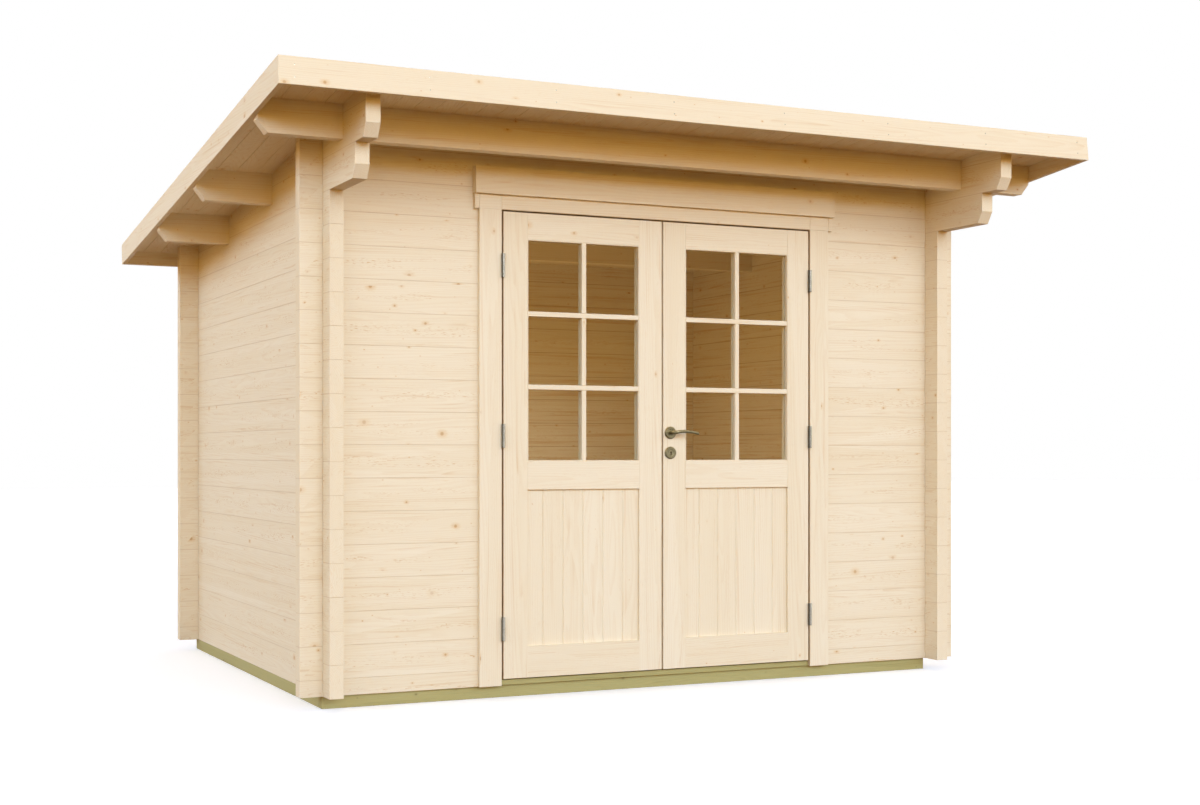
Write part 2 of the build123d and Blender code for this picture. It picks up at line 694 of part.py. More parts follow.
def door_leaf_nodes():
    nodes = {}
    for name, side in (("left", -1), ("right", 1)):
        panel, glass = leaf_infills(side)
        nodes[f"{name}_leaf_stiles"] = leaf_stiles(side)
        nodes[f"{name}_leaf_rails"] = leaf_rails(side)
        nodes[f"{name}_leaf_panel"] = [panel]
        nodes[f"{name}_leaf_glass"] = [glass]
        nodes[f"{name}_leaf_hinges"] = [leaf_knuckle(side, level) for level in HINGE_LEVELS]
    nodes["handle_roses"] = roses()
    nodes["key_plates"] = escutcheons()
    nodes["lever_handle"] = [lever()]
    return nodes


def build():
    """Every node's solids by name."""
    nodes = {}
    for group in (base_nodes, front_wall_nodes, back_wall_nodes, side_wall_nodes, roof_nodes,
                  door_frame_nodes, door_leaf_nodes):
        nodes.update(group())
    return nodes


os.makedirs("parts", exist_ok=True)
for name, shapes in build().items():
    solids = [solid for shape in shapes for solid in shape.solids()]
    export_step(solids[0] if len(solids) == 1 else Compound(solids), f"parts/{name}.step")
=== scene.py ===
"""Looks of the log garden shed: timber, glass and metal, boards, trim, handle, light and camera."""
from math import asin, ceil, cos, pi, radians, sin, sqrt, tan

import bmesh
import bpy
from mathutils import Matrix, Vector


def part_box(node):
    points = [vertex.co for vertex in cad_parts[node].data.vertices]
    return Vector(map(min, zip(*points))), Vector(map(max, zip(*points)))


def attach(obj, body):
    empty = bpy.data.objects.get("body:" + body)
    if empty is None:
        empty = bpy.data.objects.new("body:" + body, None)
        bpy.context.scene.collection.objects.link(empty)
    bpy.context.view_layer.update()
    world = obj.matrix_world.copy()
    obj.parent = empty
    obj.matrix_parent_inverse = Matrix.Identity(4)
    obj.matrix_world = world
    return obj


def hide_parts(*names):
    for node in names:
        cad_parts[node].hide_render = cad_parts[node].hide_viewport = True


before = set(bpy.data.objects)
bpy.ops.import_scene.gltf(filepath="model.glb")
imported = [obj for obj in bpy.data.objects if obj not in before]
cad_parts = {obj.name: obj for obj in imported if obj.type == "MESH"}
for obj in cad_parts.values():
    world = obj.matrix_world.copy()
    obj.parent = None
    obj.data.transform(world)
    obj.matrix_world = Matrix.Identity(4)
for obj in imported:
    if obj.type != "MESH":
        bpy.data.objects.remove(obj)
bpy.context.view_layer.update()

# Camera: metres and millimetres, for an image of 1200 by 805
CAMERA_PLACE = (-3.4195, -7.5084, 1.0351)
CAMERA_YAW_DEG = 25.562
CAMERA_LENS = 50.74
CAMERA_SENSOR = 36.0
CAMERA_SHIFT_UP = 0.0405

# Light: a soft sky, warm near the ground, cool in the middle and dim above, a key lamp and a fill in the room
WHITE = (1.0, 1.0, 1.0)
SKY_STRENGTH = 2.48
SKY_LOW = (0.96, 0.56, 0.09)
SKY_MIDDLE = (0.98, 1.31, 1.74)
SKY_ZENITH = (0.16, 0.09, 0.03)
SKY_MIDDLE_DEG = (5.5, 12.5)
SKY_ZENITH_DEG = (20.0, 38.0)
KEY_COLOUR = (0.92, 1.0, 1.12)
KEY_STRENGTH = 0.65
KEY_ANGLE_DEG = 26.0
KEY_ELEVATION_DEG = 17.0
KEY_AZIMUTH_DEG = 5.0
ROOM_FILL_COLOUR = (1.0, 0.68, 0.27)
ROOM_FILL_POWER = 12.0
ROOM_FILL_RADIUS = 0.5
ROOM_FILL_HEIGHT_SHARE = 0.45
FLOOR_SIZE = 80.0
FLOOR_DROP = 0.0005
FLOOR_WHITE = (0.90, 0.90, 0.90)
FLOOR_BOUNCE = (0.24, 0.11, 0.02)
FLOOR_GLOW = 0.30

# Trim sizes in metres
WELD = 0.00001
EDGE_EASE = 0.0012
LOG_EASE = 0.0010
EDGE_EASE_ANGLE_DEG = 50.0
SMOOTH_ANGLE_DEG = 32.0
BEVEL_PROFILE_SHARE = 0.5
JOINT_GAP = 0.0004
ROOF_PITCH_DEG = 6.0
ROOF_BOARD_WIDTH = 0.088
ROOF_BOARD_BEVEL = 0.002
FLOOR_BOARD_WIDTH = 0.095
FLOOR_BOARD_BEVEL = 0.002
FLOOR_BOARD_FOOT_BEVEL = 0.0004
GROOVE_DEPTH = 0.010
PANEL_BOARD_WIDTH = 0.0945
PANEL_BOARD_COUNT = 6
PANEL_BOARD_BEVEL = 0.0040
PANEL_BEVEL_DEPTH_SHARE = 0.65
PANEL_JOINT_GAP = 0.0003
PANE_COLUMNS = 2
PANE_ROWS = 3
BAR_WIDTH = 0.022
BAR_FACE_WIDTH = 0.0185
BAR_SETBACK = 0.002
BAR_SHOULDER_SHARE = 0.80
BEAD_WIDTH = 0.004
BEAD_SETBACK = 0.001
BEAD_QUIRK = 0.0010
BEAD_CHAMFER = 0.0008
BEAD_GLASS_GAP = 0.0003
CASING_WIDTH = 0.100
CASING_EASE = 0.0016
EDGE_BOARD_THICKNESS = 0.020
NAIL_RADIUS = 0.0023
NAIL_DOME = 0.00025
NAIL_RISES = (0.028, 0.076)
NAIL_END_INSET = 0.060
NAIL_SPACES = 7
NAIL_STEPS = 12

# Handle sizes in metres: profiles are (radius, stand) from the leaf
LATHE_STEPS = 48
ROSE_PROFILE = ((0.0095, 0), (0.0275, 0), (0.0275, 0.0042), (0.0262, 0.0068), (0.0236, 0.0090),
                (0.0152, 0.0090), (0.0144, 0.0082), (0.0136, 0.0090), (0.0095, 0.0090))
KEY_PLATE_PROFILE = ((0.0130, 0), (0.0275, 0), (0.0275, 0.0042), (0.0262, 0.0068), (0.0236, 0.0090),
                     (0.0146, 0.0090), (0.0130, 0.0080))
KEYHOLE_RADIUS = 0.0045
KEYHOLE_SLOT_WIDTH = 0.0050
KEYHOLE_SLOT_DROP = 0.0120
KEYHOLE_STEPS = 20
LEVER_STEPS = 24
LEVER_LENGTH = 0.118
LEVER_STAND = 0.048
LEVER_BOW = 0.008
LEVER_TIP_DROP = 0.005
LEVER_ELBOW = 0.017
LEVER_NECK_RADIUS = 0.009
LEVER_ROOT_HALF = (0.0070, 0.0078)
LEVER_TIP_HALF = (0.0050, 0.0060)
LEVER_ARM_SHARES = (0.2, 0.3, 0.4, 0.5, 0.6, 0.7, 0.8, 0.9, 0.965)
LEVER_TIP_SHARES = ((0.985, 0.82), (1.0, 0.45))
ELBOW_SHARES = (0, 0.2, 0.4, 0.6, 0.8, 1.0)

# Timber colours, linear
SPRUCE = {
    "pale": (0.850, 0.755, 0.580), "deep": (0.780, 0.655, 0.450), "line": (0.640, 0.405, 0.170),
    "halo": (0.710, 0.470, 0.200), "knot": (0.480, 0.235, 0.070), "end": (0.800, 0.665, 0.460),
    "joint": (0.480, 0.295, 0.115),
}
TREATED = {
    "pale": (0.480, 0.425, 0.185), "deep": (0.380, 0.335, 0.130), "line": (0.250, 0.215, 0.075),
    "halo": (0.300, 0.240, 0.085), "knot": (0.120, 0.085, 0.030), "end": (0.400, 0.350, 0.150),
    "joint": (0.100, 0.085, 0.030),
}

# Timber figure: lengths in metres
RING_WIDTH = 0.0075
RING_LATTICE = 0.110
RING_WANDER = 0.060
RING_KNOT_BEND = 0.006
RING_LEANS = {"Y": 0.011, "Z": -0.017}
GRAIN_SIZE = (0.80, 0.016, 0.016)
WANDER_SIZE = (0.80, 0.090, 0.090)
TONE_SIZE = (1.60, 0.090, 0.090)
FIBRE_SIZE = (0.060, 0.0011, 0.0011)
TREE_SPREAD = 7.0
KNOT_CELL = (0.150, 0.062, 1.0)
KNOT_LEAST = 0.0016
KNOT_SPREAD = 0.0085
KNOT_POWER = 5.0
KNOT_FAINT_RANGE = (-0.4, 1.0)
HALO_STRETCH = (0.70, 1.0, 1.0)
WALL_KNOT_SHARE = 0.46
TRIM_KNOT_SHARE = 0.12
LOG_PITCH = 0.1345
LONG_WALL_SHIFT_SHARE = 0.5
SIDE_WALL_SHIFT_SHARE = 0.0
JOINT_LINE_FULL = 0.0007
JOINT_LINE_END = 0.0019
ROOM_FACE_REACH = 0.0025
# How far the painted shade of the door gaps reaches past them
GAP_SHADE_REACH = 0.0012
HEART_BAND = (0.036, 0.058)
FLECK_SIZE = (0.022, 0.0024, 0.0024)
FLECK_CLUSTER_SIZE = (0.30, 0.030, 0.030)
BUMP_DEPTH = 0.0006

# Timber figure: shares
END_GRAIN_SLOPES = (0.65, 0.85)
CORE_EDGE = (1.1, 0.45)
HALO_EDGE = (2.6, 0.6)
LATE_WOOD_RISE = (0.30, 0.88)
LATE_WOOD_FALL = (1.0, 0.93)
STREAK_RANGE = (0.50, 0.74)
PIECE_TONE_SHARE = 0.34
PLACE_TONE_SHARE = 0.55
TONE_START_SHARE = 0.15
LINE_LEAST_SHARE = 0.10
LINE_STREAK_SHARE = 0.24
STREAK_SHARE = 0.12
FIBRE_SHARE = 0.10
HALO_SHARE = 0.50
CORE_SHARE = 0.60
JOINT_SHARE = 0.38
JOINT_END_SHARE = 0.60
# Joints inside the room are painted darker still, as painted shade in the grooves
ROOM_JOINT_SHADE_SHARE = 0.45
ROOM_STREAK_SHARE = 0.55
# Share of the joint colour painted into the door gaps as painted shade
GAP_SHADE_SHARE = 0.55
FLECK_RANGE = (0.57, 0.67)
FLECK_CLUSTER_RANGE = (0.44, 0.59)
FLECK_LEAST_SHARE = 0.18
FLECK_SHARE = 0.80
END_LEAST_SHARE = 0.25
END_RING_SHARE = 0.35
ROUGH_BASE = 0.50
ROUGH_STREAK = 0.18
ROUGH_END = 0.14
ROUGH_CORE = -0.14
RELIEF_LATE_SHARE = 0.55
RELIEF_FIBRE_SHARE = 0.45
RELIEF_CORE_SHARE = 0.50
BUMP_STRENGTH = 0.35
TIMBER_SPECULAR = 0.08

# Noise: detail and roughness
PLAIN_NOISE = (2.0, 0.5)
GRAIN_NOISE = (4.0, 0.6)
BRUSH_NOISE = (3.0, 0.6)
PATCH_NOISE = (3.0, 0.55)
RIPPLE_NOISE = (1.0, 0.4)
DUST_NOISE = (4.0, 0.6)

# Metals and glass
# Metals are painted lighter on the side their given vector points to and darker away from it: a painted
# highlight and painted shade
HINGE_STEEL = {"pale": (0.55, 0.51, 0.42), "dark": (0.10, 0.09, 0.07), "rough": (0.10, 0.22),
               "brush": (0.004, 0.004, 0.0006), "highlight_side": (0.65, -0.50, 0.57)}
SATIN_NICKEL = {"pale": (0.600, 0.510, 0.290), "dark": (0.085, 0.068, 0.033), "rough": (0.20, 0.36),
                "brush": (0.0008, 0.004, 0.004), "highlight_side": (0.0, 0.0, 1.0)}
METAL_PATCH_SIZE = (0.02, 0.02, 0.02)
METAL_PATCH_SHARE = 0.30
METAL_PATCH_START = 0.15
METAL_HIGHLIGHT_SLOPES = (-0.55, 0.95)
METAL_BUMP_STRENGTH = 0.12
METAL_BUMP_DEPTH = 0.0002
GLASS_TINT = (0.94, 0.97, 0.95)
GLASS_CLEAR = (0.92, 0.95, 0.93)
GLASS_IOR = 1.14
RIPPLE_SIZE = (0.35, 0.35, 0.55)
RIPPLE_STRENGTH = 0.05
RIPPLE_DEPTH = 0.002
DUST_SIZE = (0.012, 0.012, 0.012)
DUST_RANGE = (0.45, 0.80)
DUST_ROUGH = 0.035


# Sockets of a mix node that mixes colours
MIX_INPUTS = (0, 6, 7)
MIX_OUTPUT = 2


class Graph:
    """Adds nodes to one material or world and links them; a number or tuple may stand for a link."""

    def __init__(self, owner):
        owner.use_nodes = True
        self.owner = owner
        self.tree = owner.node_tree
        self.tree.nodes.clear()

    def node(self, kind, inputs=None, **settings):
        made = self.tree.nodes.new(kind)
        for key, value in settings.items():
            setattr(made, key, value)
        for key, value in (inputs or {}).items():
            self.feed(made.inputs[key], value)
        return made

    def feed(self, socket, value):
        if isinstance(value, bpy.types.NodeSocket):
            self.tree.links.new(value, socket)
        else:
            socket.default_value = value

    def math(self, operation, *values, clamp=False):
        made = self.node("ShaderNodeMath", dict(enumerate(values)), operation=operation, use_clamp=clamp)
        return made.outputs[0]

    def vector(self, operation, *values):
        made = self.node("ShaderNodeVectorMath", dict(enumerate(values)), operation=operation)
        return made.outputs["Value" if operation in ("LENGTH", "DOT_PRODUCT") else "Vector"]

    def mix(self, share, first, second):
        made = self.node("ShaderNodeMix", data_type="RGBA")
        for socket, value in zip(MIX_INPUTS, (share, first, second)):
            self.feed(made.inputs[socket], opaque(value) if isinstance(value, tuple) else value)
        return made.outputs[MIX_OUTPUT]

    def between(self, value, low, high):
        """0 at low, 1 at high, smooth between."""
        made = self.node("ShaderNodeMapRange", {"Value": value, "From Min": low, "From Max": high},
                         interpolation_type="SMOOTHSTEP")
        return made.outputs["Result"]

    def noise(self, place, size, detail, roughness):
        """Noise with features of the given size along each axis."""
        made = self.node("ShaderNodeTexNoise", {"Vector": self.vector("DIVIDE", place, size), "Scale": 1.0,
                                                "Detail": detail, "Roughness": roughness})
        return made.outputs["Fac"]

    def straight_rays(self):
        """1 for what the camera sees, directly, in a mirror or through glass."""
        path = self.node("ShaderNodeLightPath")
        seen = self.math("MAXIMUM", path.outputs["Is Camera Ray"], path.outputs["Is Glossy Ray"])
        return self.math("MAXIMUM", seen, path.outputs["Is Transmission Ray"]), path

    def finish(self, shader, output="ShaderNodeOutputMaterial"):
        out = self.node(output)
        self.tree.links.new(shader, out.inputs["Surface"])
        return self.owner


def opaque(colour):
    return (*colour, 1.0)


def grain_place(graph, where, axis):
    """Coordinates with the grain along X; each separate piece of timber has its own part of the tree."""
    turn = {"X": (0, 0, 0), "Y": (0, 0, -pi / 2), "Z": (0, pi / 2, 0)}[axis]
    along = graph.node("ShaderNodeMapping", {"Vector": where, "Rotation": turn}).outputs["Vector"]
    chance = graph.node("ShaderNodeNewGeometry").outputs["Random Per Island"]
    picks = graph.node("ShaderNodeTexWhiteNoise", {"W": chance}, noise_dimensions="1D").outputs["Color"]
    shift = graph.vector("SCALE", picks)
    graph.feed(shift.node.inputs["Scale"], TREE_SPREAD)
    return graph.vector("ADD", along, shift), chance


def end_grain(graph, axis):
    """1 on faces square to the grain."""
    normal = graph.node("ShaderNodeTexCoord").outputs["Normal"]
    parts = graph.node("ShaderNodeSeparateXYZ", {"Vector": normal})
    return graph.between(graph.math("ABSOLUTE", parts.outputs[axis]), *END_GRAIN_SLOPES)


def knots(graph, place, knot_share):
    """Masks of the knots' dark cores and of the grain that bends round them."""
    parts = graph.node("ShaderNodeSeparateXYZ", {"Vector": place})
    across = graph.math("ADD", parts.outputs["Y"], parts.outputs["Z"])
    flat = graph.node("ShaderNodeCombineXYZ", {"X": parts.outputs["X"], "Y": across}).outputs["Vector"]
    spread = graph.vector("DIVIDE", flat, KNOT_CELL)
    cells = graph.node("ShaderNodeTexVoronoi", {"Vector": spread, "Scale": 1.0, "Randomness": 1.0},
                       voronoi_dimensions="2D", feature="F1")
    away = graph.vector("MULTIPLY", graph.vector("SUBTRACT", spread, cells.outputs["Position"]), KNOT_CELL)
    picks = graph.node("ShaderNodeSeparateColor", {"Color": cells.outputs["Color"]})
    large = graph.math("POWER", picks.outputs["Red"], KNOT_POWER)
    size = graph.math("MULTIPLY_ADD", large, KNOT_SPREAD, KNOT_LEAST)
    there = graph.math("LESS_THAN", picks.outputs["Green"], knot_share)
    faint = graph.math("MULTIPLY", there, graph.between(picks.outputs["Blue"], *KNOT_FAINT_RANGE))
    distance = graph.math("DIVIDE", graph.vector("LENGTH", away), size)
    long_away = graph.vector("MULTIPLY", away, HALO_STRETCH)
    halo_distance = graph.math("DIVIDE", graph.vector("LENGTH", long_away), size)
    core = graph.math("MULTIPLY", faint, graph.between(distance, *CORE_EDGE))
    halo = graph.math("MULTIPLY", faint, graph.between(halo_distance, *HALO_EDGE))
    return core, halo


def rings(graph, place, halo):
    """Growth rings round hearts that lie along the grain: 0 in the early wood, 1 in the late wood."""
    wander = graph.noise(place, WANDER_SIZE, *PLAIN_NOISE)
    parts = graph.node("ShaderNodeSeparateXYZ", {"Vector": place})
    bend = graph.math("MULTIPLY_ADD", wander, RING_WANDER, graph.math("MULTIPLY", halo, RING_KNOT_BEND))
    sides = []
    for name, lean in RING_LEANS.items():
        leant = graph.math("MULTIPLY_ADD", parts.outputs["X"], lean, parts.outputs[name])
        sides.append(graph.math("PINGPONG", graph.math("ADD", leant, bend), RING_LATTICE))
    heart = graph.node("ShaderNodeCombineXYZ", {"X": sides[0], "Y": sides[1]}).outputs["Vector"]
    year = graph.math("FRACT", graph.math("DIVIDE", graph.vector("LENGTH", heart), RING_WIDTH))
    return graph.math("MULTIPLY", graph.between(year, *LATE_WOOD_RISE), graph.between(year, *LATE_WOOD_FALL))


def from_joint(graph, where, shift_share):
    """Distance from the nearest joint of a wall, whose first joint is a share of a course up."""
    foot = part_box("left_wall_logs_a")[0][2] + shift_share * LOG_PITCH
    level = graph.node("ShaderNodeSeparateXYZ", {"Vector": where}).outputs["Z"]
    return graph.math("PINGPONG", graph.math("SUBTRACT", level, foot), LOG_PITCH / 2)


def indoors(graph, where):
    """1 on the faces of the walls that look into the room."""
    low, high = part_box("floor_boards")
    parts = graph.node("ShaderNodeSeparateXYZ", {"Vector": where})
    masks = []
    for axis, start, end in zip("XY", low, high):
        away = graph.math("ABSOLUTE", graph.math("SUBTRACT", parts.outputs[axis], (start + end) / 2))
        masks.append(graph.math("LESS_THAN", away, (end - start) / 2 + ROOM_FACE_REACH))
    return graph.math("MULTIPLY", *masks)


def painted_gap_shade(graph, where):
    """Painted shade: 1 on the faces that line the gaps over the door leaves and at their hinges, and on a
    strip a little wider than the gaps.
    """
    left_low, left_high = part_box("left_leaf_stiles")
    right_low, right_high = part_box("right_leaf_stiles")
    head = left_high[2]
    middle = (left_high[0] + right_low[0]) / 2
    half_gap = (right_low[0] - left_high[0]) / 2
    half_doorway = (right_high[0] - left_low[0]) / 2 + half_gap
    parts = graph.node("ShaderNodeSeparateXYZ", {"Vector": where})
    across = graph.math("ABSOLUTE", graph.math("SUBTRACT", parts.outputs["X"], middle))
    aside = graph.math("ABSOLUTE", graph.math("SUBTRACT", across, half_doorway))
    above = graph.math("ABSOLUTE", graph.math("SUBTRACT", parts.outputs["Z"], head + half_gap))
    reach = half_gap + GAP_SHADE_REACH
    upright = graph.math("MULTIPLY", graph.math("LESS_THAN", aside, reach),
                         graph.math("LESS_THAN", parts.outputs["Z"], head + half_gap))
    level = graph.math("MULTIPLY", graph.math("LESS_THAN", above, reach),
                       graph.math("LESS_THAN", across, half_doorway))
    return graph.math("MAXIMUM", upright, level)


def flecks(graph, place, heart):
    """Short dashes of darker grain in clusters, thickest along the heart of a log."""
    dash = graph.between(graph.noise(place, FLECK_SIZE, *PLAIN_NOISE), *FLECK_RANGE)
    cluster = graph.between(graph.noise(place, FLECK_CLUSTER_SIZE, *PLAIN_NOISE), *FLECK_CLUSTER_RANGE)
    near = graph.math("MULTIPLY_ADD", heart, 1.0 - FLECK_LEAST_SHARE, FLECK_LEAST_SHARE)
    return graph.math("MULTIPLY", graph.math("MULTIPLY", dash, cluster), near)


def timber(name, palette, axis, knot_share, shift_share=None, gap_shade_share=0.0):
    """Planed softwood with its grain along one axis of the part."""
    graph = Graph(bpy.data.materials.new(name))
    where = graph.node("ShaderNodeTexCoord").outputs["Object"]
    place, chance = grain_place(graph, where, axis)
    core, halo = knots(graph, place, knot_share)
    end = end_grain(graph, axis)
    side = graph.math("SUBTRACT", 1.0, end)
    core = graph.math("MULTIPLY", core, side)
    halo = graph.math("MULTIPLY", halo, side)
    late = rings(graph, place, halo)
    streak = graph.noise(place, GRAIN_SIZE, *GRAIN_NOISE)
    tone = graph.noise(place, TONE_SIZE, *PLAIN_NOISE)
    fibre = graph.noise(place, FIBRE_SIZE, *PLAIN_NOISE)

    place_tone = graph.math("MULTIPLY", tone, PLACE_TONE_SHARE)
    piece_tone = graph.math("MULTIPLY_ADD", chance, PIECE_TONE_SHARE, place_tone)
    deep = graph.math("SUBTRACT", piece_tone, TONE_START_SHARE, clamp=True)
    colour = graph.mix(deep, palette["pale"], palette["deep"])
    marked = graph.between(streak, *STREAK_RANGE)
    line_share = graph.math("MULTIPLY_ADD", marked, LINE_STREAK_SHARE, LINE_LEAST_SHARE)
    lines = graph.math("MULTIPLY", late, line_share)
    lines = graph.math("MULTIPLY_ADD", marked, STREAK_SHARE, lines, clamp=True)
    colour = graph.mix(lines, colour, palette["line"])
    colour = graph.mix(graph.math("MULTIPLY", fibre, FIBRE_SHARE), colour, palette["deep"])
    colour = graph.mix(graph.math("MULTIPLY", halo, HALO_SHARE), colour, palette["halo"])
    colour = graph.mix(graph.math("MULTIPLY", core, CORE_SHARE), colour, palette["knot"])
    ring_end = graph.math("MULTIPLY_ADD", late, END_RING_SHARE, END_LEAST_SHARE)
    colour = graph.mix(graph.math("MULTIPLY", end, ring_end), colour, palette["end"])
    heart = 0.0
    if shift_share is not None:
        away = from_joint(graph, where, shift_share)
        heart = graph.between(away, *HEART_BAND)
        inside = indoors(graph, where)
        colour = graph.mix(graph.math("MULTIPLY", inside, ROOM_STREAK_SHARE), colour,
                           graph.mix(marked, colour, palette["line"]))
        strength = graph.math("MULTIPLY_ADD", end, -JOINT_SHARE * JOINT_END_SHARE, JOINT_SHARE)
        # Inside the room the joints get painted shade on top of their own dark colour
        strength = graph.math("MULTIPLY_ADD", inside, ROOM_JOINT_SHADE_SHARE, strength)
        joint = graph.math("MULTIPLY", graph.between(away, JOINT_LINE_END, JOINT_LINE_FULL), strength)
        colour = graph.mix(joint, colour, palette["joint"])
    # Painted shade in and just beside the door gaps, in the joint colour
    if gap_shade_share:
        gap = graph.math("MULTIPLY", painted_gap_shade(graph, where), gap_shade_share)
        colour = graph.mix(gap, colour, palette["joint"])
    fleck = graph.math("MULTIPLY", flecks(graph, place, heart), side)
    colour = graph.mix(graph.math("MULTIPLY", fleck, FLECK_SHARE), colour, palette["line"])

    rough = graph.math("MULTIPLY_ADD", end, ROUGH_END, ROUGH_BASE)
    rough = graph.math("MULTIPLY_ADD", streak, ROUGH_STREAK, rough)
    rough = graph.math("MULTIPLY_ADD", core, ROUGH_CORE, rough)
    relief = graph.math("MULTIPLY", fibre, RELIEF_FIBRE_SHARE)
    relief = graph.math("MULTIPLY_ADD", late, RELIEF_LATE_SHARE, relief)
    relief = graph.math("MULTIPLY_ADD", core, RELIEF_CORE_SHARE, relief)
    bump = graph.node("ShaderNodeBump", {"Strength": BUMP_STRENGTH, "Distance": BUMP_DEPTH, "Height": relief})
    shader = graph.node("ShaderNodeBsdfPrincipled", {
        "Base Color": colour, "Roughness": rough, "Normal": bump.outputs["Normal"],
        "Specular IOR Level": TIMBER_SPECULAR,
    })
    return graph.finish(shader.outputs["BSDF"])


def metal(name, looks):
    """Satin metal with fine brush marks and patches, painted lighter on one side and darker behind: a painted
    highlight and painted shade.
    """
    graph = Graph(bpy.data.materials.new(name))
    where = graph.node("ShaderNodeTexCoord").outputs["Object"]
    marks = graph.noise(where, looks["brush"], *BRUSH_NOISE)
    patches = graph.noise(where, METAL_PATCH_SIZE, *PATCH_NOISE)
    normal = graph.node("ShaderNodeTexCoord").outputs["Normal"]
    # Painted highlight and painted shade: lighter where the face turns towards the given side, darker away
    # from it
    facing = graph.vector("DOT_PRODUCT", normal, looks["highlight_side"])
    painted_highlight = graph.math("SUBTRACT", graph.between(facing, *METAL_HIGHLIGHT_SLOPES), METAL_PATCH_START)
    bright = graph.math("MULTIPLY_ADD", patches, METAL_PATCH_SHARE, painted_highlight, clamp=True)
    colour = graph.mix(bright, looks["dark"], looks["pale"])
    low, high = looks["rough"]
    rough = graph.math("MULTIPLY_ADD", marks, high - low, low)
    bump = graph.node("ShaderNodeBump", {"Strength": METAL_BUMP_STRENGTH, "Distance": METAL_BUMP_DEPTH,
                                         "Height": marks})
    shader = graph.node("ShaderNodeBsdfPrincipled", {
        "Base Color": colour, "Metallic": 1.0, "Roughness": rough, "Normal": bump.outputs["Normal"],
    })
    return graph.finish(shader.outputs["BSDF"])


def pane_glass(name):
    """Clear float glass with a faint ripple and a little dust; lamps shine through it."""
    graph = Graph(bpy.data.materials.new(name))
    where = graph.node("ShaderNodeTexCoord").outputs["Object"]
    ripple = graph.noise(where, RIPPLE_SIZE, *RIPPLE_NOISE)
    dust = graph.noise(where, DUST_SIZE, *DUST_NOISE)
    rough = graph.math("MULTIPLY", graph.between(dust, *DUST_RANGE), DUST_ROUGH)
    bump = graph.node("ShaderNodeBump", {"Strength": RIPPLE_STRENGTH, "Distance": RIPPLE_DEPTH,
                                         "Height": ripple})
    pane = graph.node("ShaderNodeBsdfPrincipled", {
        "Base Color": opaque(GLASS_TINT), "Roughness": rough, "IOR": GLASS_IOR,
        "Transmission Weight": 1.0, "Normal": bump.outputs["Normal"],
    })
    clear = graph.node("ShaderNodeBsdfTransparent", {"Color": opaque(GLASS_CLEAR)})
    path = graph.node("ShaderNodeLightPath")
    passes = graph.math("MAXIMUM", path.outputs["Is Shadow Ray"], path.outputs["Is Diffuse Ray"])
    both = graph.node("ShaderNodeMixShader", {0: passes, 1: pane.outputs["BSDF"], 2: clear.outputs["BSDF"]})
    return graph.finish(both.outputs["Shader"])


def dress(names, material, ease=EDGE_EASE):
    """Puts one material on CAD nodes, joins their triangles and eases their sharp edges."""
    for name in names:
        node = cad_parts[name]
        node.data.materials.clear()
        node.data.materials.append(material)
        if not ease:
            continue
        weld = node.modifiers.new("join", "WELD")
        weld.merge_threshold = WELD
        bevel = node.modifiers.new("ease", "BEVEL")
        bevel.width = ease
        bevel.segments = 1
        bevel.limit_method = "ANGLE"
        bevel.angle_limit = radians(EDGE_EASE_ANGLE_DEG)
        bevel.use_clamp_overlap = True


def prism(mesh, outline, start, end, place):
    """Carries a closed (u, v) outline from start to end; place(u, v, along) gives the point."""
    rows = [[mesh.verts.new(place(u, v, along)) for u, v in outline] for along in (start, end)]
    bridge(mesh, rows)
    mesh.faces.new(rows[0])
    mesh.faces.new(rows[1])


def bridge(mesh, rows, ring=False):
    """Joins closed rows of points one to the next, and the last to the first for a ring."""
    count = len(rows[0])
    following = rows[1:] + (rows[:1] if ring else [])
    for row, after in zip(rows, following):
        for i in range(count):
            j = (i + 1) % count
            mesh.faces.new((row[i], row[j], after[j], after[i]))


def eased_outline(u0, u1, v0, v1, low_ease, high_ease, depth_share=1.0):
    """A rectangle with its corners cut: low_ease wide at v0, high_ease at v1, a share of it deep."""
    v2, v3 = v0 + low_ease * depth_share, v1 - high_ease * depth_share
    return [(u0 + low_ease, v0), (u1 - low_ease, v0), (u1, v2), (u1, v3),
            (u1 - high_ease, v1), (u0 + high_ease, v1), (u0, v3), (u0, v2)]


def eased_block(mesh, low, high, ease):
    """A board with all its edges cut."""
    corners = bmesh.ops.create_cube(mesh, size=1.0)["verts"]
    for corner in corners:
        corner.co = [b if c > 0 else a for a, b, c in zip(low, high, corner.co)]
    edges = list({edge for corner in corners for edge in corner.link_edges})
    bmesh.ops.bevel(mesh, geom=edges, offset=ease, segments=1, profile=BEVEL_PROFILE_SHARE, affect="EDGES")


def mitred_frame(mesh, low, high, profile):
    """Carries an (inset, y) profile round a rectangle in X and Z, with mitred corners."""
    (x0, z0), (x1, z1) = low, high
    corners = ((x0, z0, 1, 1), (x1, z0, -1, 1), (x1, z1, -1, -1), (x0, z1, 1, -1))
    rows = [[mesh.verts.new((x + dx * inset, y, z + dz * inset)) for inset, y in profile]
            for x, z, dx, dz in corners]
    bridge(mesh, rows, ring=True)


def lathe(mesh, profile, centre, out):
    """Turns a closed (radius, stand) profile round an axis that leaves the leaf at centre."""
    x, y, z = centre
    rows = []
    for step in range(LATHE_STEPS):
        turn = 2 * pi * step / LATHE_STEPS
        rows.append([mesh.verts.new((x + radius * cos(turn), y + out * stand, z + radius * sin(turn)))
                     for radius, stand in profile])
    bridge(mesh, rows, ring=True)


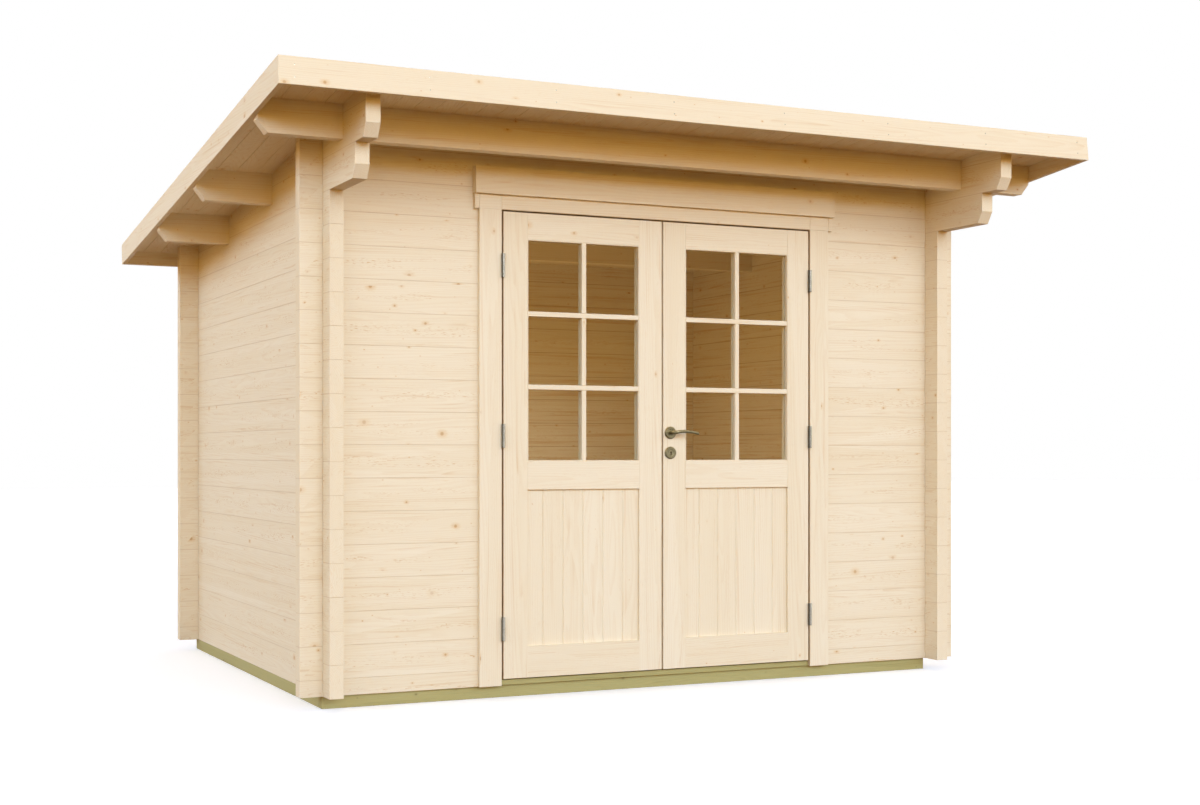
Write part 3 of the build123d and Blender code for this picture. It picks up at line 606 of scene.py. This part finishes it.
def piece(name, mesh, material, body, nodes=(), smooth=False):
    """Finishes one mesh as a piece that rides on a body and stands for the named nodes."""
    bmesh.ops.recalc_face_normals(mesh, faces=mesh.faces)
    if smooth:
        for face in mesh.faces:
            face.smooth = True
        for edge in mesh.edges:
            edge.smooth = edge.calc_face_angle(0) < radians(SMOOTH_ANGLE_DEG)
    data = bpy.data.meshes.new(name)
    mesh.to_mesh(data)
    mesh.free()
    made = bpy.data.objects.new(name, data)
    bpy.context.scene.collection.objects.link(made)
    data.materials.append(material)
    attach(made, body)
    if nodes:
        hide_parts(*nodes)


def roof_boards(material):
    """Boards from the front fascia to the rear one, with a bevel along each joint, above and below."""
    box_low, box_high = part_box("roof_deck")
    angle = radians(ROOF_PITCH_DEG)
    depth = box_high[1] - box_low[1]
    height = box_high[2] - box_low[2]
    thick = (height - depth * tan(angle)) / (cos(angle) - sin(angle) * tan(angle))
    run = (depth - thick * sin(angle)) / cos(angle)
    foot = Vector((0, box_low[1], box_high[2] - thick * cos(angle)))
    down = Vector((0, cos(angle), -sin(angle)))
    up = Vector((0, sin(angle), cos(angle)))
    width = box_high[0] - box_low[0]
    count = ceil(width / ROOF_BOARD_WIDTH)
    pitch = width / count
    mesh = bmesh.new()
    for i in range(count):
        u0 = box_low[0] + i * pitch
        outline = eased_outline(u0, u0 + pitch - JOINT_GAP, 0, thick, ROOF_BOARD_BEVEL, ROOF_BOARD_BEVEL)
        prism(mesh, outline, 0, run, lambda u, v, along: Vector((u, 0, 0)) + foot + up * v + down * along)
    piece("roof_boards", mesh, material, "shed", ["roof_deck"])


def floor_planks(material):
    """Floor boards from side to side."""
    low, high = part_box("floor_boards")
    depth = high[1] - low[1]
    count = ceil(depth / FLOOR_BOARD_WIDTH)
    pitch = depth / count
    mesh = bmesh.new()
    for i in range(count):
        u0 = low[1] + i * pitch
        outline = eased_outline(u0, u0 + pitch - JOINT_GAP, low[2], high[2],
                                FLOOR_BOARD_FOOT_BEVEL, FLOOR_BOARD_BEVEL)
        prism(mesh, outline, low[0], high[0], lambda u, v, along: (along, u, v))
    piece("floor_planks", mesh, material, "shed", ["floor_boards"])


def head_trim(material):
    """The head casing: a board between two corner blocks, with a short horn past each."""
    low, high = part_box("head_casing")
    outer_low, outer_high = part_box("door_casings")
    joints = [low[0], outer_low[0], outer_low[0] + CASING_WIDTH,
              outer_high[0] - CASING_WIDTH, outer_high[0], high[0]]
    mesh = bmesh.new()
    for x0, x1 in zip(joints, joints[1:]):
        eased_block(mesh, (x0, low[1], low[2]), (x1 - JOINT_GAP, high[1], high[2]), CASING_EASE)
    piece("head_trim", mesh, material, "shed", ["head_casing"])


def nail_heads(material):
    """Pairs of slightly domed nail heads along the front fascia."""
    low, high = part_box("front_fascia")
    angle = radians(ROOF_PITCH_DEG)
    up = Vector((0, sin(angle), cos(angle)))
    out = Vector((0, -cos(angle), sin(angle)))
    foot = Vector((0, low[1], low[2] + EDGE_BOARD_THICKNESS * sin(angle)))
    first, last = low[0] + NAIL_END_INSET, high[0] - NAIL_END_INSET
    mesh = bmesh.new()
    for space in range(NAIL_SPACES + 1):
        x = first + (last - first) * space / NAIL_SPACES
        for rise in NAIL_RISES:
            middle = foot + up * rise + Vector((x, 0, 0))
            turns = [2 * pi * step / NAIL_STEPS for step in range(NAIL_STEPS)]
            rim = [mesh.verts.new(middle + Vector((NAIL_RADIUS * cos(t), 0, 0)) + up * NAIL_RADIUS * sin(t))
                   for t in turns]
            top = mesh.verts.new(middle + out * NAIL_DOME)
            for i, corner in enumerate(rim):
                mesh.faces.new((corner, rim[(i + 1) % NAIL_STEPS], top))
            mesh.faces.new(rim)
    piece("fascia_nails", mesh, material, "shed")


def leaf_opening(node):
    """The opening that a pane fills in its leaf, without the grooves."""
    low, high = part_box(node)
    return ((low[0] + GROOVE_DEPTH, low[2] + GROOVE_DEPTH), (high[0] - GROOVE_DEPTH, high[2] - GROOVE_DEPTH),
            low[1], high[1])


def panel_boards(side, material):
    """Upright matchboards in the lower panel of a leaf, bevelled at each joint on both faces."""
    node = f"{side}_leaf_panel"
    low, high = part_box(node)
    middle = (low[0] + high[0]) / 2
    inner = PANEL_BOARD_COUNT - 2
    joints = [middle + (i - inner / 2) * PANEL_BOARD_WIDTH for i in range(inner + 1)]
    edges = [low[0], *joints, high[0]]
    mesh = bmesh.new()
    for u0, u1 in zip(edges, edges[1:]):
        outline = eased_outline(u0, u1 - PANEL_JOINT_GAP, low[1], high[1],
                                PANEL_BOARD_BEVEL, PANEL_BOARD_BEVEL, PANEL_BEVEL_DEPTH_SHARE)
        prism(mesh, outline, low[2], high[2], lambda u, v, along: (u, v, along))
    piece(f"{side}_panel_boards", mesh, material, f"{side}_door", [node])


def bead_profile(face, seat):
    """A square bead, sunk a little at the timber: face is its outer Y, seat its Y at the glass."""
    inward = 1 if seat > face else -1
    sunk, eased = face + inward * BEAD_QUIRK, face + inward * BEAD_CHAMFER
    return [(0, sunk), (BEAD_QUIRK, sunk), (BEAD_QUIRK, face), (BEAD_WIDTH - BEAD_CHAMFER, face),
            (BEAD_WIDTH, eased), (BEAD_WIDTH, seat), (0, seat)]


def leaf_beads(side, material):
    """Beads round the glass, on both faces of a leaf."""
    leaf_low, leaf_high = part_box(f"{side}_leaf_rails")
    low, high, front, back = leaf_opening(f"{side}_leaf_glass")
    mesh = bmesh.new()
    for face, seat in ((leaf_low[1] + BEAD_SETBACK, front - BEAD_GLASS_GAP),
                       (leaf_high[1] - BEAD_SETBACK, back + BEAD_GLASS_GAP)):
        mitred_frame(mesh, low, high, bead_profile(face, seat))
    piece(f"{side}_leaf_beads", mesh, material, f"{side}_door")


def bar_outline(middle, face, seat):
    """Section of a glazing bar: wide at the glass, narrower and eased at its face."""
    half = BAR_WIDTH / 2
    nose = BAR_FACE_WIDTH / 2
    shoulder = seat + (face - seat) * BAR_SHOULDER_SHARE
    return [(middle - half, seat), (middle + half, seat), (middle + half, shoulder), (middle + nose, face),
            (middle - nose, face), (middle - half, shoulder)]


def glazing_bars(side, level_wood, upright_wood):
    """Bars that divide the glass of a leaf, on both of its faces."""
    leaf_low, leaf_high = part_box(f"{side}_leaf_rails")
    (x0, z0), (x1, z1), front, back = leaf_opening(f"{side}_leaf_glass")
    x0, z0, x1, z1 = x0 + BEAD_WIDTH, z0 + BEAD_WIDTH, x1 - BEAD_WIDTH, z1 - BEAD_WIDTH
    level_mesh, upright_mesh = bmesh.new(), bmesh.new()
    levels = [z0 + (z1 - z0) * row / PANE_ROWS for row in range(1, PANE_ROWS)]
    columns = [x0 + (x1 - x0) * column / PANE_COLUMNS for column in range(1, PANE_COLUMNS)]
    ends = [z0, *[z for level in levels for z in (level - BAR_WIDTH / 2, level + BAR_WIDTH / 2)], z1]
    for face, seat in ((leaf_low[1] + BAR_SETBACK, front - BEAD_GLASS_GAP),
                       (leaf_high[1] - BAR_SETBACK, back + BEAD_GLASS_GAP)):
        for level in levels:
            prism(level_mesh, bar_outline(level, face, seat), x0, x1, lambda u, v, along: (along, v, u))
        for column in columns:
            outline = bar_outline(column, face, seat)
            for start, end in zip(ends[::2], ends[1::2]):
                prism(upright_mesh, outline, start, end, lambda u, v, along: (u, v, along))
    piece(f"{side}_level_bars", level_mesh, level_wood, f"{side}_door")
    piece(f"{side}_upright_bars", upright_mesh, upright_wood, f"{side}_door")


def plate_seats(node):
    """Where a pair of handle plates sits: the middle of each on its face of the leaf, and the way out."""
    low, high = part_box(node)
    leaf_low, leaf_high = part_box("right_leaf_stiles")
    x, z = (low[0] + high[0]) / 2, (low[2] + high[2]) / 2
    return [((x, leaf_low[1], z), -1), ((x, leaf_high[1], z), 1)]


def roses(material):
    """Turned roses round the necks of the levers."""
    mesh = bmesh.new()
    for centre, out in plate_seats("handle_roses"):
        lathe(mesh, ROSE_PROFILE, centre, out)
    piece("turned_roses", mesh, material, "right_door", ["handle_roses"], smooth=True)


def keyhole_outline():
    """A round hole with a slot below it, as (x, z) from the middle of the hole."""
    half = KEYHOLE_SLOT_WIDTH / 2
    gap = asin(half / KEYHOLE_RADIUS)
    first, last = gap - pi / 2, 3 * pi / 2 - gap
    turns = [first + (last - first) * step / KEYHOLE_STEPS for step in range(KEYHOLE_STEPS + 1)]
    arc = [(KEYHOLE_RADIUS * cos(turn), KEYHOLE_RADIUS * sin(turn)) for turn in turns]
    return [*arc, (-half, -KEYHOLE_SLOT_DROP), (half, -KEYHOLE_SLOT_DROP)]


def key_plates(material):
    """Turned keyhole plates: a raised rim round a sunk disc with the keyhole in it."""
    rim_radius, rim_stand = KEY_PLATE_PROFILE[-1]
    turns = [2 * pi * step / LATHE_STEPS for step in range(LATHE_STEPS)]
    disc = [(rim_radius * cos(turn), rim_radius * sin(turn)) for turn in turns]
    mesh = bmesh.new()
    for (x, y, z), out in plate_seats("key_plates"):
        lathe(mesh, KEY_PLATE_PROFILE, (x, y, z), out)
        loops = []
        for outline, stand in ((disc, rim_stand), (keyhole_outline(), rim_stand), (keyhole_outline(), 0)):
            loops.append([mesh.verts.new((x + u, y + out * stand, z + v)) for u, v in outline])
        edges = [mesh.edges.new((loop[i - 1], loop[i])) for loop in loops[:2] for i in range(len(loop))]
        bmesh.ops.triangle_fill(mesh, use_beauty=True, edges=edges)
        bridge(mesh, loops[1:])
    piece("turned_key_plates", mesh, material, "right_door", ["key_plates"], smooth=True)


def lever_rows(x, y, z, out):
    """Closed rows of points along one lever: its neck, its elbow and its bowed, tapering arm."""
    spots = [(0, 0, 1, *[LEVER_NECK_RADIUS] * 2)]
    for share in ELBOW_SHARES:
        turn = share * pi / 2
        sizes = [LEVER_NECK_RADIUS + (half - LEVER_NECK_RADIUS) * share for half in LEVER_ROOT_HALF]
        along = LEVER_ELBOW * (1 - cos(turn))
        stand = LEVER_STAND - LEVER_ELBOW + LEVER_ELBOW * sin(turn)
        spots.append((along, stand, cos(turn), *sizes))
    for share, scale in [*[(share, 1) for share in LEVER_ARM_SHARES], *LEVER_TIP_SHARES]:
        sizes = [(root + (tip - root) * share) * scale for root, tip in zip(LEVER_ROOT_HALF, LEVER_TIP_HALF)]
        spots.append((LEVER_LENGTH * share, LEVER_STAND, 0, *sizes))
    rows = []
    for along, stand, face_on, half_depth, half_height in spots:
        share = along / LEVER_LENGTH
        rise = LEVER_BOW * (1 - (2 * share - 1) ** 2) - LEVER_TIP_DROP * share
        side_on = sqrt(1 - face_on ** 2)
        row = []
        for step in range(LEVER_STEPS):
            turn = 2 * pi * step / LEVER_STEPS
            across = half_depth * cos(turn)
            row.append((x + along + across * face_on, y + out * (stand - across * side_on),
                        z + rise + half_height * sin(turn)))
        rows.append(row)
    return rows


def levers(material):
    """The levers outside and inside, on the one spindle."""
    mesh = bmesh.new()
    for (x, y, z), out in plate_seats("handle_roses"):
        rows = [[mesh.verts.new(point) for point in row] for row in lever_rows(x, y, z, out)]
        bridge(mesh, rows)
        mesh.faces.new(rows[0])
        mesh.faces.new(rows[-1])
    piece("bowed_levers", mesh, material, "door_lever", ["lever_handle"], smooth=True)


def sky():
    """A soft sky in three bands that looks plain white, also in a mirror and through glass."""
    world = bpy.data.worlds.new("sky")
    bpy.context.scene.world = world
    graph = Graph(world)
    seen, _ = graph.straight_rays()
    towards = graph.node("ShaderNodeTexCoord").outputs["Generated"]
    height = graph.node("ShaderNodeSeparateXYZ", {"Vector": towards}).outputs["Z"]
    middle = graph.between(height, *[sin(radians(degrees)) for degrees in SKY_MIDDLE_DEG])
    zenith = graph.between(height, *[sin(radians(degrees)) for degrees in SKY_ZENITH_DEG])
    lit = graph.mix(zenith, graph.mix(middle, SKY_LOW, SKY_MIDDLE), SKY_ZENITH)
    strength = graph.math("MULTIPLY_ADD", seen, 1.0 - SKY_STRENGTH, SKY_STRENGTH)
    colour = graph.mix(seen, lit, WHITE)
    glow = graph.node("ShaderNodeBackground", {"Color": colour, "Strength": strength})
    graph.finish(glow.outputs["Background"], "ShaderNodeOutputWorld")


def lamps():
    """A soft key lamp in front and a round fill in the middle of the room."""
    scene = bpy.context.scene
    lamp = bpy.data.lights.new("key", "SUN")
    lamp.color = KEY_COLOUR
    lamp.energy = KEY_STRENGTH
    lamp.angle = radians(KEY_ANGLE_DEG)
    key = bpy.data.objects.new("key", lamp)
    key.rotation_euler = (pi / 2 - radians(KEY_ELEVATION_DEG), 0, radians(KEY_AZIMUTH_DEG))
    scene.collection.objects.link(key)

    low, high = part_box("floor_boards")
    soft = bpy.data.lights.new("room_fill", "POINT")
    soft.color = ROOM_FILL_COLOUR
    soft.energy = ROOM_FILL_POWER
    soft.shadow_soft_size = ROOM_FILL_RADIUS
    fill = bpy.data.objects.new("room_fill", soft)
    rise = (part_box("mid_purlins")[0][2] - high[2]) * ROOM_FILL_HEIGHT_SHARE
    fill.location = ((low[0] + high[0]) / 2, (low[1] + high[1]) / 2, high[2] + rise)
    fill.visible_camera = fill.visible_glossy = fill.visible_transmission = False
    scene.collection.objects.link(fill)


def studio_floor():
    """A pale floor that keeps the shadow."""
    graph = Graph(bpy.data.materials.new("studio_floor"))
    seen, path = graph.straight_rays()
    colour = graph.mix(path.outputs["Is Diffuse Ray"], FLOOR_WHITE, FLOOR_BOUNCE)
    matt = graph.node("ShaderNodeBsdfDiffuse", {"Color": colour})
    glow = graph.node("ShaderNodeEmission", {"Strength": graph.math("MULTIPLY", seen, FLOOR_GLOW)})
    pale = graph.node("ShaderNodeAddShader", {0: matt.outputs["BSDF"], 1: glow.outputs["Emission"]})
    mesh = bmesh.new()
    bmesh.ops.create_grid(mesh, x_segments=1, y_segments=1, size=FLOOR_SIZE / 2)
    data = bpy.data.meshes.new("studio_floor")
    mesh.to_mesh(data)
    mesh.free()
    data.materials.append(graph.finish(pale.outputs["Shader"]))
    floor = bpy.data.objects.new("studio_floor", data)
    floor.location = (0, 0, -FLOOR_DROP)
    bpy.context.scene.collection.objects.link(floor)


def camera():
    """The photograph's viewpoint: level, with its frame shifted up."""
    lens = bpy.data.cameras.new("camera")
    lens.lens = CAMERA_LENS
    lens.sensor_width = CAMERA_SENSOR
    lens.sensor_fit = "HORIZONTAL"
    lens.shift_y = CAMERA_SHIFT_UP
    lens.clip_end = FLOOR_SIZE * 2
    view = bpy.data.objects.new("camera", lens)
    view.location = CAMERA_PLACE
    view.rotation_euler = (pi / 2, 0, -radians(CAMERA_YAW_DEG))
    bpy.context.scene.collection.objects.link(view)
    bpy.context.scene.camera = view


LONG_WALLS = ["front_left_logs_a", "front_left_logs_b", "front_right_logs_a", "front_right_logs_b",
              "front_lintel_log", "front_head_log", "front_top_log", "back_wall_logs_a", "back_wall_logs_b"]
SIDE_WALLS = ["left_wall_logs_a", "left_wall_logs_b", "right_wall_logs_a", "right_wall_logs_b",
              "lower_corbel_logs", "upper_corbel_logs"]
LEVEL_BEAMS = ["front_purlin", "mid_purlins", "front_fascia", "rear_fascia"]
LEVEL_TRIM = ["door_head", "cornice_board", "left_leaf_rails", "right_leaf_rails"]
UPRIGHT_TRIM = ["door_jambs", "door_casings", "left_leaf_stiles", "right_leaf_stiles"]

level_logs = timber("spruce_level_logs", SPRUCE, "X", WALL_KNOT_SHARE, LONG_WALL_SHIFT_SHARE)
deep_logs = timber("spruce_deep_logs", SPRUCE, "Y", WALL_KNOT_SHARE, SIDE_WALL_SHIFT_SHARE)
level_beam = timber("spruce_level_beam", SPRUCE, "X", WALL_KNOT_SHARE)
deep_board = timber("spruce_deep_board", SPRUCE, "Y", WALL_KNOT_SHARE)
level_trim = timber("spruce_level_trim", SPRUCE, "X", TRIM_KNOT_SHARE, gap_shade_share=GAP_SHADE_SHARE)
upright_trim = timber("spruce_upright_trim", SPRUCE, "Z", TRIM_KNOT_SHARE, gap_shade_share=GAP_SHADE_SHARE)
level_treated = timber("treated_level", TREATED, "X", WALL_KNOT_SHARE)
deep_treated = timber("treated_deep", TREATED, "Y", WALL_KNOT_SHARE)
hinge_steel = metal("hinge_steel", HINGE_STEEL)
satin_nickel = metal("satin_nickel", SATIN_NICKEL)
glass = pane_glass("glass")

dress(LONG_WALLS, level_logs, LOG_EASE)
dress(SIDE_WALLS, deep_logs, LOG_EASE)
dress(LEVEL_BEAMS, level_beam)
dress(["barge_boards"], deep_board)
dress(LEVEL_TRIM, level_trim)
dress(UPRIGHT_TRIM, upright_trim)
dress(["base_long_bearers", "door_sill"], level_treated)
dress(["base_cross_bearers"], deep_treated)
dress(["frame_hinges", "left_leaf_hinges", "right_leaf_hinges"], hinge_steel)
dress(["left_leaf_glass", "right_leaf_glass"], glass, ease=0)
dress(["roof_deck"], deep_board, ease=0)
dress(["floor_boards", "head_casing"], level_trim, ease=0)
dress(["left_leaf_panel", "right_leaf_panel"], upright_trim, ease=0)
dress(["handle_roses", "key_plates", "lever_handle"], satin_nickel, ease=0)

roof_boards(deep_board)
floor_planks(level_beam)
head_trim(level_trim)
nail_heads(hinge_steel)
for leaf in ("left", "right"):
    panel_boards(leaf, upright_trim)
    leaf_beads(leaf, upright_trim)
    glazing_bars(leaf, level_trim, upright_trim)
roses(satin_nickel)
key_plates(satin_nickel)
levers(satin_nickel)

bpy.context.scene.view_settings.view_transform = "Standard"
sky()
lamps()
studio_floor()
camera()
